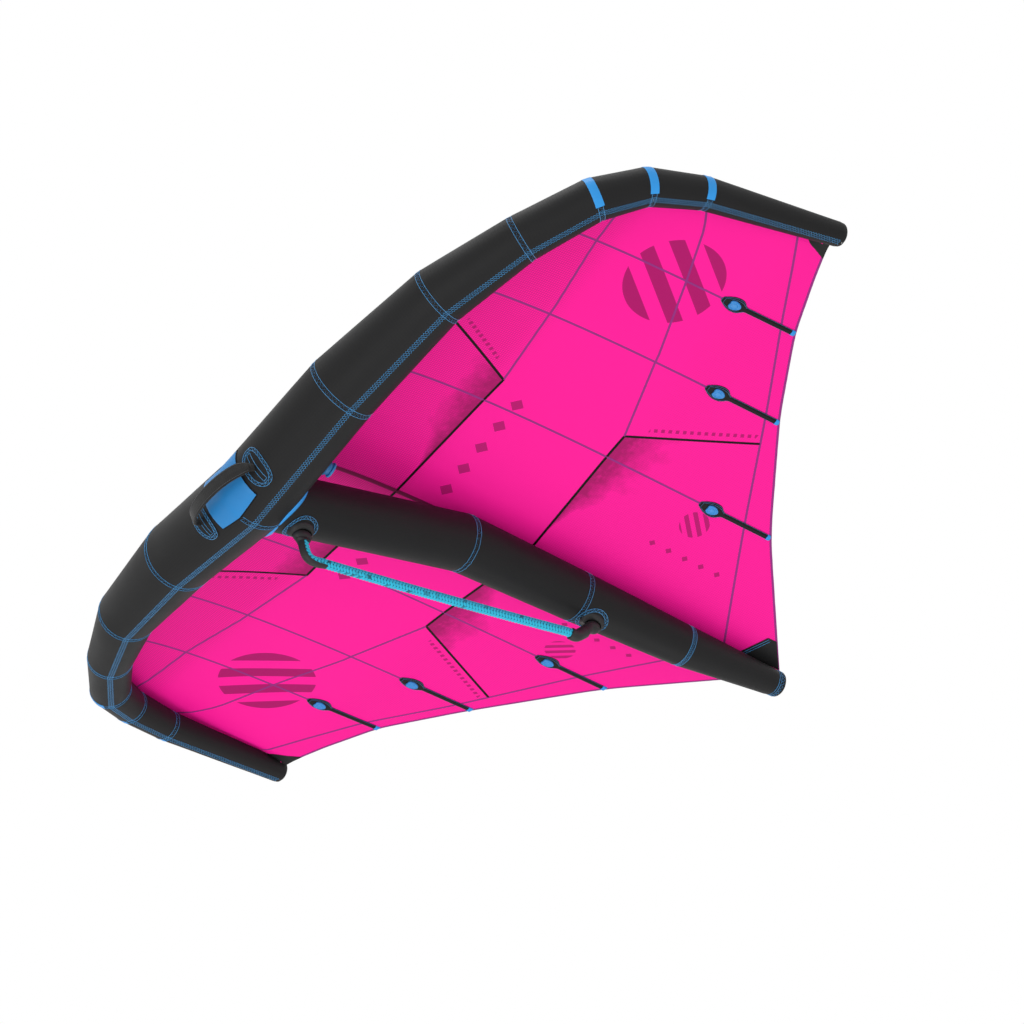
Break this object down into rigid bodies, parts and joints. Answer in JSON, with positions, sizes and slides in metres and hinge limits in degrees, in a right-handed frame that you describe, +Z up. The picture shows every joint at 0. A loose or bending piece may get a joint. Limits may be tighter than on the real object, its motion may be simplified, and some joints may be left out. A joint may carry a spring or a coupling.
{
  "type": "wingfoil wing",
  "caption": "Inflatable hand wing: a swept air tube and a central strut carry a curved cloth canopy with edge battens, a front grab handle and a braided handle line below.",
  "frame": {"origin": "inside the leading edge tube at mid span, where the front handle's load enters the wing", "axes": "+X to the right tip along the span, +Y from the leading edge to the trailing edge, +Z up as the wing flies"},
  "size_m": [2.8722, 2.121, 0.5562],
  "materials": {
    "tube_cloth": "woven matte",
    "strut_cloth": "woven matte",
    "tail_cap_cloth": "woven matte",
    "bladder_film": "smooth film",
    "canopy_cloth": "coated ripstop satin",
    "patch_cloth": "woven matte",
    "pocket_cloth": "woven matte",
    "batten_fibre": "satin",
    "cap_plastic": "satin",
    "window_cloth": "coated satin",
    "strap_webbing": "woven matte",
    "boot_rubber": "matte",
    "braided_line": "braided",
    "valve_plastic": "satin",
    "valve_cap_plastic": "satin"
  },
  "bodies": {
    "wing": {"tube_panel_1_right": "tube_cloth", "tube_panel_2_right": "tube_cloth", "tube_panel_3_right": "tube_cloth", "tube_panel_4_right": "tube_cloth", "tube_panel_5_right": "tube_cloth", "tube_panel_6_right": "tube_cloth", "tube_panel_7_right": "tube_cloth", "tube_panel_1_left": "tube_cloth", "tube_panel_2_left": "tube_cloth", "tube_panel_3_left": "tube_cloth", "tube_panel_4_left": "tube_cloth", "tube_panel_5_left": "tube_cloth", "tube_panel_6_left": "tube_cloth", "tube_panel_7_left": "tube_cloth", "tube_bladder": "bladder_film", "strut_panel_1": "strut_cloth", "strut_panel_2": "strut_cloth", "strut_panel_3": "strut_cloth", "strut_panel_4": "strut_cloth", "strut_tail_cap": "tail_cap_cloth", "strut_bladder": "bladder_film", "canopy_front_right": "canopy_cloth", "canopy_front_left": "canopy_cloth", "canopy_middle_right": "canopy_cloth", "canopy_middle_left": "canopy_cloth", "canopy_rear_right": "canopy_cloth", "canopy_rear_left": "canopy_cloth", "canopy_trailing_right": "canopy_cloth", "canopy_trailing_left": "canopy_cloth", "tail_patch_right": "patch_cloth", "tail_patch_left": "patch_cloth", "batten_pocket_1_right": "pocket_cloth", "batten_1_right": "batten_fibre", "batten_cap_1_right": "cap_plastic", "batten_pocket_1_left": "pocket_cloth", "batten_1_left": "batten_fibre", "batten_cap_1_left": "cap_plastic", "batten_pocket_2_right": "pocket_cloth", "batten_2_right": "batten_fibre", "batten_cap_2_right": "cap_plastic", "batten_pocket_2_left": "pocket_cloth", "batten_2_left": "batten_fibre", "batten_cap_2_left": "cap_plastic", "batten_pocket_3_right": "pocket_cloth", "batten_3_right": "batten_fibre", "batten_cap_3_right": "cap_plastic", "batten_pocket_3_left": "pocket_cloth", "batten_3_left": "batten_fibre", "batten_cap_3_left": "cap_plastic", "handle_patch_right": "patch_cloth", "handle_patch_left": "patch_cloth", "window_pad": "window_cloth", "front_anchor_patch": "patch_cloth", "rear_anchor_patch": "patch_cloth", "valve_body": "valve_plastic"},
    "line": {"handle_line": "braided_line", "front_boot": "boot_rubber", "rear_boot": "boot_rubber"},
    "grip": {"handle_strap": "strap_webbing"},
    "cap": {"valve_cap": "valve_cap_plastic"}
  },
  "joints": [
    {"name": "line_swing", "type": "hinge", "parent": "wing", "child": "line", "pos_m": [0, 0.15327, -0.06066], "axis": [0, 0.9998, 0.022], "range_deg": [-70, 70]},
    {"name": "grip_swing", "type": "hinge", "parent": "wing", "child": "grip", "pos_m": [0, -0.09801, 0.00082], "axis": [1, 0, 0], "range_deg": [-20, 20]},
    {"name": "cap_hinge", "type": "hinge", "parent": "wing", "child": "cap", "pos_m": [0.18959, 0.14095, 0.05859], "axis": [0.9998, 0.0182, 0], "range_deg": [0, 140]}
  ]
}
